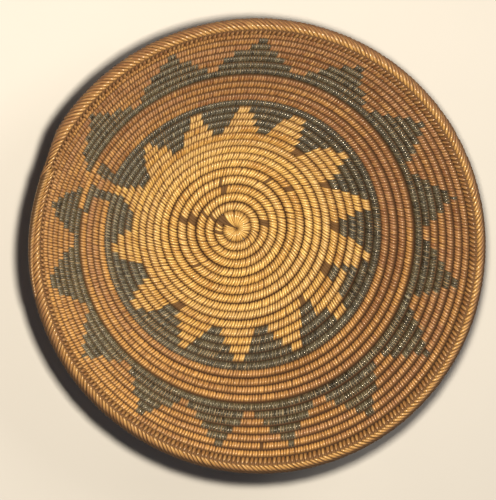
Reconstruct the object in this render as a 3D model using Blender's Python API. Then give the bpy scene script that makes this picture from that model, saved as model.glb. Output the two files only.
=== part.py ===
"""Coiled ceremonial basket: a shallow bowl sewn from one spiral coil, ending in a braided rim.

The coil climbs from a flat base into a flaring wall.  Each course is one turn of stitching round
the foundation rods, which run through all courses as one unbroken spiral.
"""
import math

import bmesh
import bpy
import numpy as np

MM = 0.001

# The coil and its stitching
COIL_PITCH = 6.5 * MM
COURSE_GAP = 0.8 * MM
SPLINT_WALL = 1.1 * MM
ROD_CLEARANCE = 0.3 * MM
END_GAP = 0.3 * MM
CHANNEL_OVERRUN = 2.0 * MM

# The bowl's profile, measured along the coil's middle line from the centre outwards
FLAT_LENGTH = 36.0 * MM
BEND_LENGTH = 26.0 * MM
WALL_SLOPE = math.radians(31.0)
RIM_SLOPE = math.radians(49.0)
STANDING_FLAT = 0.5 * MM

# How far the hand-sewn bowl is out of round in plan, half way along the coil and at the rim
MIDWAY_SHIFT = 0.7 * MM
MIDWAY_OVALITY = 1.4 * MM
RIM_SHIFT = 1.9 * MM
RIM_OVALITY = 2.8 * MM
CORNERS = 0.5 * MM
MIDWAY_ONSET = 1.4
RIM_ONSET = 2.5

# The rim, the tail that ends it and the button that starts the coil
RIM_THICKNESS = 11.0 * MM
TAIL_END_THICKNESS = 1.8 * MM
BUTTON_ROUNDING = 0.8 * MM
DIMPLE_RADIUS = 1.1 * MM
DIMPLE_DEPTH = 2.4 * MM

# Turns of the coil, counted from its middle; courses meet end to end at the pathway
BUTTON_TURNS = 1.74
START_FOUNDATION_LOOPS = 2
FOUNDATION_LOOPS = 24
MIDDLE_ANGLE = math.radians(-108.0)
STATIONS_PER_TURN = 16
RAMP_STATIONS = 2
END_RAMP_STATIONS = 1
PROFILE_STEPS_PER_TURN = 40

# Sides of a course, of the rods and of the dimple
COURSE_SIDES = 6
ROD_SIDES = 4
DIMPLE_SIDES = 12

WELD_DISTANCE = 0.001 * MM

# Zones of the pattern from the centre outwards: name, courses, colour of most of its stitches
ZONE_COUNTS = (
    ("centre", 10, "straw"),
    ("star", 2, "straw"),
    ("notch", 2, "dark"),
    ("inner_ring", 1, "dark"),
    ("band", 4, "rust"),
    ("outer_ring", 1, "dark"),
    ("peak_foot", 2, "dark"),
    ("peak_top", 3, "rust"),
    ("border", 1, "rust"),
)

# Colour (linear), roughness
FINISHES = {
    "straw": ((0.56, 0.33, 0.10), 0.55),
    "dark": ((0.060, 0.050, 0.032), 0.60),
    "rust": ((0.42, 0.19, 0.060), 0.55),
    "braid": ((0.46, 0.24, 0.065), 0.50),
    "rods": ((0.52, 0.40, 0.22), 0.75),
}

# The same as waves round the bowl: how many, how high, and the side where one stands out
MIDWAY_WAVES = (
    (1, MIDWAY_SHIFT, math.radians(-130.0)),
    (2, MIDWAY_OVALITY, math.radians(4.0)),
    (3, CORNERS, math.radians(55.0)),
)
RIM_WAVES = (
    (1, RIM_SHIFT, math.radians(7.0)),
    (2, RIM_OVALITY, math.radians(-37.0)),
    (3, CORNERS, math.radians(55.0)),
)

# Sizes that follow from the ones above
COURSE_RADIUS = (COIL_PITCH - COURSE_GAP) / 2
COURSE_FLAT = COURSE_RADIUS * math.cos(math.pi / COURSE_SIDES)
CHANNEL_RADIUS = COURSE_RADIUS - SPLINT_WALL
ROD_RADIUS = CHANNEL_RADIUS - ROD_CLEARANCE / math.cos(math.pi / ROD_SIDES)
RIM_RADIUS = RIM_THICKNESS / 2
RIM_SWELL = RIM_RADIUS - COURSE_RADIUS
TAIL_END_RADIUS = TAIL_END_THICKNESS / 2
MIDDLE_HEIGHT = COURSE_FLAT - STANDING_FLAT
COURSES = sum(count for _, count, _ in ZONE_COUNTS)
PLAIN_END = BUTTON_TURNS + COURSES
RIM_END = PLAIN_END + 1
RAMP_TURNS = (RAMP_STATIONS - 0.5) / STATIONS_PER_TURN
END_RAMP_TURNS = (END_RAMP_STATIONS - 0.5) / STATIONS_PER_TURN
WALL_LENGTH = RIM_END * COIL_PITCH - FLAT_LENGTH - BEND_LENGTH


def slope_at(length):
    """Slope of the bowl at a length along its profile."""
    bend = np.clip((length - FLAT_LENGTH) / BEND_LENGTH, 0, 1)
    wall = np.clip((length - FLAT_LENGTH - BEND_LENGTH) / WALL_LENGTH, 0, None)
    return bend * bend * (3 - 2 * bend) * (WALL_SLOPE + (RIM_SLOPE - WALL_SLOPE) * wall)


def make_profile():
    """Lengths, radii and heights along the bowl's profile."""
    step = COIL_PITCH / PROFILE_STEPS_PER_TURN
    lengths = np.arange((math.ceil(RIM_END) + 1) * PROFILE_STEPS_PER_TURN) * step
    slopes = slope_at(lengths[:-1] + step / 2)
    radii = np.concatenate(([0], np.cumsum(np.cos(slopes) * step)))
    heights = np.concatenate(([0], np.cumsum(np.sin(slopes) * step))) + MIDDLE_HEIGHT
    return lengths, radii, heights


PROFILE = make_profile()


def swell_at(turn):
    """How far the coil has thickened into the rim: 0 on plain courses, 1 on the full rim."""
    ramp = min((turn - PLAIN_END) / RAMP_TURNS, (RIM_END - turn) / END_RAMP_TURNS)
    ramp = min(max(ramp, 0), 1)
    return ramp * ramp * (3 - 2 * ramp)


def around(turn, radius, height):
    """A point at a radius and height, on the side of the bowl that the turn has reached."""
    angle = MIDDLE_ANGLE + 2 * math.pi * turn
    return np.array((radius * math.cos(angle), radius * math.sin(angle), height))


def drift_at(turn):
    """How far the hand-sewn coil lies outside a round one, in plan."""
    angle = MIDDLE_ANGLE + 2 * math.pi * turn
    share = min(max(turn / PLAIN_END, 0), 1)
    midway = sum(size * math.cos(count * (angle - side)) for count, size, side in MIDWAY_WAVES)
    rim = sum(size * math.cos(count * (angle - side)) for count, size, side in RIM_WAVES)
    return midway * math.sin(math.pi * share ** MIDWAY_ONSET) + rim * share ** RIM_ONSET


def coil_middle(turn):
    """The coil's middle point, and the slope there."""
    length = turn * COIL_PITCH + RIM_SWELL * swell_at(turn)
    lengths, radii, heights = PROFILE
    radius = np.interp(length, lengths, radii) + drift_at(turn)
    return around(turn, radius, np.interp(length, lengths, heights)), float(slope_at(length))


def route_end(inner, outer, end_gap):
    """The middle of a straight stretch, drawn back from it by a gap towards the inner point."""
    along = (inner - outer) / np.linalg.norm(inner - outer)
    return (inner + outer) / 2 + along * end_gap


def route(first, last, end_gap):
    """Turns, points and slopes along the coil; both ends stand in the middle of a straight stretch."""
    step = 1 / STATIONS_PER_TURN
    count = round((last - first) * STATIONS_PER_TURN)
    turns = [first + (index + 0.5) * step for index in range(count)]
    points = []
    slopes = []
    for turn in turns:
        point, slope = coil_middle(turn)
        points.append(point)
        slopes.append(slope)
    start = route_end(points[0], coil_middle(first - step / 2)[0], end_gap)
    end = route_end(points[-1], coil_middle(last + step / 2)[0], end_gap)
    turns = [first] + turns + [last]
    points = [start] + points + [end]
    slopes = [coil_middle(first)[1]] + slopes + [coil_middle(last)[1]]
    return turns, points, slopes


def as_mesh(curve):
    """A curve's solid as a mesh object, with its caps welded on."""
    drawn = bpy.data.objects.new(curve.name, curve)
    bpy.context.scene.collection.objects.link(drawn)
    bpy.context.view_layer.update()
    mesh = bpy.data.meshes.new_from_object(drawn.evaluated_get(bpy.context.evaluated_depsgraph_get()))
    shape = bmesh.new()
    shape.from_mesh(mesh)
    bmesh.ops.remove_doubles(shape, verts=shape.verts, dist=WELD_DISTANCE)
    shape.to_mesh(mesh)
    shape.free()
    name = curve.name
    bpy.data.objects.remove(drawn)
    bpy.data.curves.remove(curve)
    mesh.name = name
    return bpy.data.objects.new(name, mesh)


def sweep(name, points, slopes, radii, sides, roll=0.0):
    """A tube along points; its first corner lies up the bowl's slope, turned by roll."""
    curve = bpy.data.curves.new(name, "CURVE")
    curve.dimensions = "3D"
    curve.twist_mode = "Z_UP"
    curve.bevel_depth = max(radii)
    curve.bevel_resolution = (sides - 4) // 2
    curve.use_fill_caps = True
    spline = curve.splines.new("POLY")
    spline.points.add(len(points) - 1)
    for knot, point, slope, radius in zip(spline.points, points, slopes, radii):
        knot.co = (*point, 1)
        knot.tilt = roll - slope
        knot.radius = radius / max(radii)
    return as_mesh(curve)


def finish(name):
    """A material with a finish's colour and roughness."""
    colour, roughness = FINISHES[name]
    material = bpy.data.materials.new(name)
    material.use_nodes = True
    shader = material.node_tree.nodes["Principled BSDF"]
    shader.inputs["Base Color"].default_value = (*colour, 1)
    shader.inputs["Roughness"].default_value = roughness
    shader.inputs["Metallic"].default_value = 0
    material.diffuse_color = (*colour, 1)
    return material


def add_part(obj, material, collection, smooth_angle=math.radians(65)):
    """Put an object in the basket's collection, with its material and smooth shading."""
    collection.objects.link(obj)
    obj.data.materials.append(material)
    obj.data.shade_smooth()
    obj.data.set_sharp_from_angle(angle=smooth_angle)
    return obj


def add_cutter(obj, collection):
    """Put an object among the cutters, out of the render."""
    collection.objects.link(obj)
    obj.hide_render = True
    obj.display_type = "WIRE"
    return obj


def cut(obj, cutter):
    """Take a cutter's shape out of an object."""
    boolean = obj.modifiers.new("cut by " + cutter.name, "BOOLEAN")
    boolean.operation = "DIFFERENCE"
    boolean.solver = "EXACT"
    boolean.object = cutter


def tube_radii(turns, plain, swollen):
    """Radii along the coil, from the plain courses' to the rim's."""
    return [plain + (swollen - plain) * swell_at(turn) for turn in turns]


def rods(name, first, last):
    """The foundation rods over a stretch of the coil, as one bundle."""
    turns, points, slopes = route(first, last, END_GAP / 2)
    radii = tube_radii(turns, ROD_RADIUS, ROD_RADIUS + RIM_SWELL)
    return sweep(name, points, slopes, radii, ROD_SIDES, math.pi / ROD_SIDES)


def foundation_channel():
    """The space that the rods fill, as one cutter that runs past both ends of the coil."""
    turns, points, slopes = route(BUTTON_TURNS, RIM_END, -CHANNEL_OVERRUN)
    radii = tube_radii(turns, CHANNEL_RADIUS, CHANNEL_RADIUS + RIM_SWELL)
    return sweep("foundation_channel", points, slopes, radii, ROD_SIDES, math.pi / ROD_SIDES)


def stitched_course(name, first):
    """The stitching of one course, a hollow tube one turn long."""
    turns, points, slopes = route(first, first + 1, END_GAP / 2)
    radii = tube_radii(turns, COURSE_RADIUS, RIM_RADIUS)
    return sweep(name, points, slopes, radii, COURSE_SIDES)


def coil_tail():
    """The thinned end of the coil, laid along the outside of the rim's first stretch."""
    turns, points, slopes = route(PLAIN_END, RIM_END, END_GAP / 2)
    stations = RAMP_STATIONS + 1
    middles = []
    radii = []
    for turn, point, slope in list(zip(turns, points, slopes))[:stations]:
        share = (turn - PLAIN_END) / RAMP_TURNS
        radius = COURSE_RADIUS + (TAIL_END_RADIUS - COURSE_RADIUS) * share
        reach = COURSE_RADIUS + RIM_SWELL * swell_at(turn) + COURSE_GAP + radius
        outward = around(turn, math.cos(slope), math.sin(slope))
        middles.append(point + outward * reach)
        radii.append(radius)
    return sweep("coil_tail", middles, slopes[:stations], radii, COURSE_SIDES)


def button_outline():
    """The start button's edge: it follows the first course's inner side, and steps in where that starts."""
    turns, points, _ = route(BUTTON_TURNS, BUTTON_TURNS + 1, 0)
    edge = []
    for turn, point in zip(turns, points):
        outward = around(turn, 1, 0)
        edge.append(point - outward * (COURSE_RADIUS + COURSE_GAP))
    along = (points[1] - points[0]) / np.linalg.norm(points[1] - points[0])
    backwards = along * END_GAP / 2
    return [edge[0] - backwards] + edge[1:-1] + [edge[-1] - backwards]


def start_button():
    """The knot that starts the coil: a flat disc with a snail's outline and rounded edges."""
    thickness = MIDDLE_HEIGHT + COURSE_FLAT
    curve = bpy.data.curves.new("start_button", "CURVE")
    curve.dimensions = "2D"
    curve.fill_mode = "BOTH"
    curve.extrude = thickness / 2 - BUTTON_ROUNDING
    curve.bevel_depth = BUTTON_ROUNDING
    curve.bevel_resolution = 1
    curve.offset = -BUTTON_ROUNDING
    outline = button_outline()
    spline = curve.splines.new("POLY")
    spline.points.add(len(outline) - 1)
    spline.use_cyclic_u = True
    for knot, point in zip(spline.points, outline):
        knot.co = (point[0], point[1], 0, 1)
    made = as_mesh(curve)
    made.location.z = thickness / 2
    return made


def dimple(cutters):
    """The small pit in the middle of the start button."""
    top = MIDDLE_HEIGHT + COURSE_FLAT
    bpy.ops.mesh.primitive_cylinder_add(
        vertices=DIMPLE_SIDES, radius=DIMPLE_RADIUS, depth=2 * DIMPLE_DEPTH, location=(0, 0, top))
    pit = bpy.context.object
    pit.name = "dimple"
    for collection in list(pit.users_collection):
        collection.objects.unlink(pit)
    return add_cutter(pit, cutters)


def floor_slab(cutters):
    """Everything below the plane that the basket stands on."""
    reach = RIM_END * COIL_PITCH
    bpy.ops.mesh.primitive_cube_add(size=2 * reach, location=(0, 0, -reach))
    slab = bpy.context.object
    slab.name = "standing_plane"
    for collection in list(slab.users_collection):
        collection.objects.unlink(slab)
    return add_cutter(slab, cutters)


def course_names():
    """Names and colours of the plain courses, from the centre outwards."""
    names = []
    number = math.ceil(BUTTON_TURNS)
    for zone, count, colour in ZONE_COUNTS:
        for _ in range(count):
            names.append(("course_%02d_%s" % (number, zone), colour))
            number += 1
    return names


def least_gap(points, radius):
    """The smallest space between a tube and its own next turn, measured from points to stretches."""
    points = np.array(points)
    half_turn = STATIONS_PER_TURN // 2
    starts = points[:-1]
    stretches = points[1:] - starts
    least = math.inf
    for index, point in enumerate(points[: -half_turn - 1]):
        far = slice(index + half_turn, None)
        lengths = np.sum(stretches[far] ** 2, axis=1)
        shares = np.clip(np.sum((point - starts[far]) * stretches[far], axis=1) / lengths, 0, 1)
        nearest = starts[far] + stretches[far] * shares[:, None]
        least = min(least, np.min(np.linalg.norm(nearest - point, axis=1)))
    return least - 2 * radius


def report_gaps(first_loop):
    """Print the least gaps of the rods to themselves and of one course to the next."""
    rod_points = route(first_loop, PLAIN_END, END_GAP / 2)[1]
    print("foundation_coil: least gap to itself %.2f mm" % (least_gap(rod_points, ROD_RADIUS) / MM))
    course_points = route(BUTTON_TURNS, PLAIN_END, END_GAP / 2)[1]
    print("courses: least gap to the next %.2f mm" % (least_gap(course_points, COURSE_RADIUS) / MM))


def build():
    """Model every piece of the basket."""
    for obj in list(bpy.data.objects):
        bpy.data.objects.remove(obj)
    basket = bpy.data.collections.new("ceremonial_basket")
    cutters = bpy.data.collections.new("cutters")
    bpy.context.scene.collection.children.link(basket)
    bpy.context.scene.collection.children.link(cutters)
    finishes = {name: finish(name) for name in FINISHES}

    channel = add_cutter(foundation_channel(), cutters)
    slab = floor_slab(cutters)
    button = add_part(start_button(), finishes["straw"], basket)
    cut(button, dimple(cutters))

    for index, (name, colour) in enumerate(course_names()):
        first = BUTTON_TURNS + index
        course = add_part(stitched_course(name, first), finishes[colour], basket)
        cut(course, channel)
        if first * COIL_PITCH < FLAT_LENGTH + BEND_LENGTH:
            cut(course, slab)
    rim = add_part(stitched_course("rim_braid", PLAIN_END), finishes["braid"], basket)
    cut(rim, channel)
    add_part(coil_tail(), finishes["braid"], basket)

    first_loop = BUTTON_TURNS + START_FOUNDATION_LOOPS
    last_loop = first_loop + FOUNDATION_LOOPS
    add_part(rods("start_foundation", BUTTON_TURNS, first_loop), finishes["rods"], basket)
    add_part(rods("foundation_coil", first_loop, last_loop), finishes["rods"], basket)
    add_part(rods("rim_foundation", last_loop, RIM_END), finishes["rods"], basket)
    report_gaps(first_loop)


build()
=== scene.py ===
"""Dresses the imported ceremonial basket: its splints, stepped pattern, braided rim and studio."""
from math import ceil, pi, radians, sin, sqrt, tan

import bpy
import numpy as np
from bpy.props import FloatProperty, FloatVectorProperty, IntProperty, PointerProperty
from mathutils import Matrix, Vector


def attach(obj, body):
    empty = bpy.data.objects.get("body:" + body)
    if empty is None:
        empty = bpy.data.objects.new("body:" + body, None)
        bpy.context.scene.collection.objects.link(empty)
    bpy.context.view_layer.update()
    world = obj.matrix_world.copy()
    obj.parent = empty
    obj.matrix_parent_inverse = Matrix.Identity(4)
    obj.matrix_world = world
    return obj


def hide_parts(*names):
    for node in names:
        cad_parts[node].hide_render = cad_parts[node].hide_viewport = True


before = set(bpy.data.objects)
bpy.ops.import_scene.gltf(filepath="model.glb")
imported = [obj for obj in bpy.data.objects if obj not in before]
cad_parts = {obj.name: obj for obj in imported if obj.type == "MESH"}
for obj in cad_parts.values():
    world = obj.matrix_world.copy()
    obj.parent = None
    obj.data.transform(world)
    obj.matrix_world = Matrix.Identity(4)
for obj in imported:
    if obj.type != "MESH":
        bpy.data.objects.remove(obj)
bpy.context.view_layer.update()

bl_info = {
    "name": "Coiled Ceremonial Basket",
    "version": (1, 0, 0),
    "blender": (4, 5, 0),
    "location": "View3D > Sidebar > Basket",
    "description": "Sews the splints of a coiled basket over its packed solids and sets up "
                   "the studio",
    "category": "Object",
}

MM = 0.001
FULL_TURN = 2 * pi


def a_length(name, description, millimetres):
    """A length that the user can change."""
    return FloatProperty(name=name, description=description, default=millimetres * MM,
                         min=0, precision=4, unit="LENGTH")


def an_angle(name, description, degrees):
    """An angle that the user can change."""
    return FloatProperty(name=name, description=description, default=radians(degrees),
                         subtype="ANGLE", unit="ROTATION")


def a_share(name, description, share):
    """A share from nothing to twice the whole that the user can change."""
    return FloatProperty(name=name, description=description, default=share, min=0, max=2,
                         subtype="FACTOR")


def a_colour(name, description, colour):
    """A colour that the user can change."""
    return FloatVectorProperty(name=name, description=description, default=colour, size=3,
                               min=0, max=1, subtype="COLOR")


class BasketCoilSettings(bpy.types.PropertyGroup):
    """The line that the coil follows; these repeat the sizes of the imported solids."""
    pitch: a_length("Pitch", "From one course of the coil to the next", 6.5)
    course_thickness: a_length("Course thickness", "Across the packed solid of a course", 5.7)
    flat_length: a_length("Flat length", "From the middle out to where the bowl begins to rise", 36)
    bend_length: a_length("Bend length", "Over which the bowl turns up into its wall", 26)
    wall_slope: an_angle("Wall slope", "Slope of the bowl where its wall begins", 31)
    rim_slope: an_angle("Rim slope", "Slope of the bowl at the rim", 49)
    middle_height: a_length("Middle height", "Of the first course's middle above the table", 1.9682)
    rim_thickness: a_length("Rim thickness", "Across the braided rim", 11)
    tail_thickness: a_length("Tail thickness", "Of the coil's thinned end", 1.8)
    button_turns: FloatProperty(name="Button turns", default=1.74,
                                description="Turns of the coil that the start button takes up")
    courses: IntProperty(name="Courses", default=26,
                         description="Plain courses between button and rim")
    ramp_turns: FloatProperty(name="Ramp turns", default=1.5 / 16,
                              description="Part of a turn over which the rim thickens")
    end_ramp_turns: FloatProperty(name="End ramp turns", default=0.5 / 16,
                                  description="Part of a turn over which the rim's end thins again")
    pathway: an_angle("Pathway", "Direction of the coil's zero, before the pathway", -108)
    midway_shift: a_length("Midway shift", "How far the courses half way out lie to one side", 0.7)
    midway_shift_side: an_angle("Midway shift side", "Direction of that side", -130)
    midway_ovality: a_length("Midway ovality", "How far those courses are drawn out both ways", 1.4)
    midway_long_side: an_angle("Midway long side", "Direction of one of the two", 4)
    rim_shift: a_length("Rim shift", "How far the rim lies to one side", 1.9)
    rim_shift_side: an_angle("Rim shift side", "Direction of that side", 7)
    rim_ovality: a_length("Rim ovality", "How far the rim is drawn out both ways", 2.8)
    rim_long_side: an_angle("Rim long side", "Direction of one of the two", -37)
    corners: a_length("Corners", "How far three soft corners of the bowl stand out", 0.5)
    corners_side: an_angle("Corners side", "Direction of the first corner", 55)
    wobble: a_length("Wobble", "How far the coil strays from its even spiral", 0.22)


class BasketStitchSettings(bpy.types.PropertyGroup):
    """How the splints are wrapped round the coil."""
    spacing: a_length("Spacing", "From one stitch to the next", 2.05)
    bed_reach: a_length("Bed reach", "From the coil's middle to its rods' side, in the centre",
                        2.74)
    border_reach: a_length("Border reach", "The same, in the outer courses", 2.44)
    bed_height: a_length("Bed height", "From the coil's middle to its rods' face", 2.42)
    fullness: a_share("Fullness", "Of the rods' bundle: below 1 it is fuller than round", 0.97)
    crown: a_length("Crown", "Height of a splint's rounded back over its edges", 0.84)
    bite: a_length("Bite", "How far a stitch reaches between those of the course before", 0.45)
    straw_cover: a_share("Straw cover", "Part of the spacing that a straw splint covers", 0.90)
    rust_cover: a_share("Rust cover", "Part of the spacing that a rust splint covers", 0.93)
    dark_cover: a_share("Dark cover", "Part of the spacing that a dark splint covers", 0.88)
    slack: a_share("Slack", "How much looser some dark splints are laid", 0.08)
    waist: a_share("Waist", "Width of a splint in the groove between courses", 0.74)
    centre_slant: an_angle("Centre slant", "Lean of the stitches near the centre", 27)
    border_slant: an_angle("Border slant", "Lean of the stitches near the rim", 12)
    # Painted shade: brown and dark splints, and the rim's strands, deeper in tone towards one side
    # of the bowl
    brown_side_shade: a_share("Deeper brown", "How much deeper brown splints are on one side", 1.9)
    dark_side_shade: a_share("Deeper dark", "How much deeper dark splints are on that side", 1.25)
    shaded_side: an_angle("Deeper side", "Direction of that side, from the right", 52)
    unevenness: a_share("Unevenness", "How far the stitches stray from a perfect row", 1.0)
    seed: IntProperty(name="Seed", default=11,
                      description="Start of the stitches' small differences")


class BasketRimSettings(bpy.types.PropertyGroup):
    """How the false braid of the rim is laid."""
    spacing: a_length("Spacing", "From one strand of the braid to the next", 3.3)
    spine: an_angle("Spine", "Where the strands turn back, from the rim's outer side upwards", 62)
    crest: an_angle("Crest", "Width of the polished crest, from the spine outwards", 46)
    inner_slant: an_angle("Inner slant", "Lean of the strands on the inside of the rim", 17)
    crest_run: a_length("Crest run", "How far a strand runs along the crest", 4.2)
    outer_run: a_length("Outer run", "How far a strand runs along the rim's outer side", 6.0)
    bead: a_length("Bead", "Height of a strand's rounded back on the inside", 1.55)
    crown: a_length("Crown", "Height of a strand's rounded back on the crest", 1.0)


class BasketColourSettings(bpy.types.PropertyGroup):
    """Colours of the splints and rods."""
    straw: a_colour("Straw", "Natural splints", (0.62, 0.398, 0.120))
    straw_shade: a_colour("Straw shade", "The deeper natural splints", (0.35, 0.165, 0.036))
    straw_tint: a_colour("Straw tint", "Natural splints that have greyed", (0.48, 0.31, 0.125))
    # Painted shade: the natural splints' colour deep in the grooves; stains take it too
    straw_groove: a_colour("Straw groove", "Natural splints in a groove", (0.15, 0.070, 0.020))
    dark: a_colour("Dark", "Dyed dark splints", (0.070, 0.054, 0.026))
    dark_shade: a_colour("Dark shade", "The deepest dyed splints", (0.008, 0.006, 0.004))
    dark_tint: a_colour("Dark tint", "Dark splints with a grey cast", (0.046, 0.043, 0.034))
    # Painted shade: the dark splints' colour deep in the grooves
    dark_groove: a_colour("Dark groove", "Dark splints in a groove", (0.004, 0.003, 0.002))
    rust: a_colour("Rust", "Dyed brown splints", (0.455, 0.234, 0.067))
    rust_shade: a_colour("Rust shade", "The deeper brown splints", (0.160, 0.062, 0.023))
    rust_tint: a_colour("Rust tint", "Brown splints with a mauve cast", (0.28, 0.136, 0.070))
    # Painted shade: the brown splints' colour deep in the grooves; stains take it too
    rust_groove: a_colour("Rust groove", "Brown splints in a groove", (0.055, 0.022, 0.007))
    # The crest's gold against the shade colour of the inner strands is partly polish, partly
    # painted light on the rim's top
    crest: a_colour("Crest", "Polished strands on the rim's crest", (0.36, 0.190, 0.052))
    crest_shade: a_colour("Crest shade", "The rim's inner strands", (0.150, 0.062, 0.024))
    crest_tint: a_colour("Crest tint", "Rim strands with a mauve cast", (0.20, 0.096, 0.048))
    # Painted shade: the rim's and tail's strands in grooves, where they pass under others, and on
    # the rim's outer side
    crest_groove: a_colour("Crest groove", "Rim strands under others", (0.028, 0.011, 0.004))
    rods: a_colour("Rods", "Foundation rods between the stitches", (0.30, 0.26, 0.17))
    # Painted shade: the rods under the natural and brown splints, darker so that the gaps between
    # those splints look shaded
    shaded_rods: a_colour("Worked rods", "Foundation rods darkened by use", (0.12, 0.060, 0.024))
    # Stains on the splints; on the rods, painted shade at the bottom of the grooves
    grime_and_shade: a_colour("Grime", "Dirt at the bottom of the grooves", (0.042, 0.019, 0.008))


class BasketStudioSettings(bpy.types.PropertyGroup):
    """Floor, lamps and camera."""
    floor_colour: a_colour("Floor colour", "The table", (0.48, 0.455, 0.415))
    floor_size: a_length("Floor size", "Across the table", 6000)
    lamp_power: FloatProperty(name="Lamp power", description="Of the main lamp", default=33,
                              unit="POWER")
    lamp_distance: a_length("Lamp distance", "From the basket", 1350)
    lamp_size: a_length("Lamp size", "Across the main lamp", 80)
    side_power: FloatProperty(name="Side power", description="Of the soft side lamp", default=18,
                              unit="POWER")
    side_distance: a_length("Side distance", "From the basket", 2500)
    side_size: a_length("Side size", "Across the soft side lamp", 1000)
    fill: a_share("Fill", "Brightness of the light from all round", 0.08)
    camera_distance: a_length("Camera distance", "From the basket", 2600)
    lean_sideways: an_angle("Camera lean sideways", "Towards the right", -10.25)
    lean_back: an_angle("Camera lean back", "Towards the far side", 10.22)


SETTINGS = {
    "basket_coil": BasketCoilSettings,
    "basket_stitches": BasketStitchSettings,
    "basket_rim": BasketRimSettings,
    "basket_colours": BasketColourSettings,
    "basket_studio": BasketStudioSettings,
}


def settings(name):
    """One group of the user's settings."""
    return getattr(bpy.context.scene, "basket_" + name)


def smooth(share):
    """An even rise from 0 to 1."""
    share = np.clip(share, 0, 1)
    return share * share * (3 - 2 * share)


def rise(value, start, over):
    """An even rise from 0 to 1 that begins at a start and takes a span."""
    return smooth((value - start) / over)


def hump(value, middle, width):
    """A soft rise to 1 at a middle, and the fall after it."""
    return np.exp(-((value - middle) / width) ** 2)


def powered(value, power):
    """A power of a value that keeps its sign."""
    return np.sign(value) * np.abs(value) ** power


def ring(stations):
    """Evenly spaced angles once round the coil's section."""
    return FULL_TURN * np.arange(stations) / stations


# The profile is added up in this many steps to a pitch
PROFILE_STEPS = 40
# In plan: how late the middle's shape and the rim's set in, and how many corners there are
MIDWAY_ONSET, RIM_ONSET, CORNER_COUNT = 1.4, 2.5, 3
# Waves of the coil's straying: size, pace over a turn and start of each
WAVER_WAVES = ((0.5, 4.3, 0), (0.5, 9.1, 1), (0.35, 22.7, 2))
WAVER_ONSET, WAVER_END = 8, 14
# From the rim's rods to its packed surface
RIM_COVER = 0.85 * MM
# The rods inside the stitches: how deep they lie, and how far they reach over the groove
CORE_INSET, CORE_OVERLAP = 0.22 * MM, 0.4 * MM
CORE_SHARPNESS, BITE_SHARPNESS = 9, 3
# Height over the table below which the underside is pressed flat
SOFT_LAYER = 0.6 * MM


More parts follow.
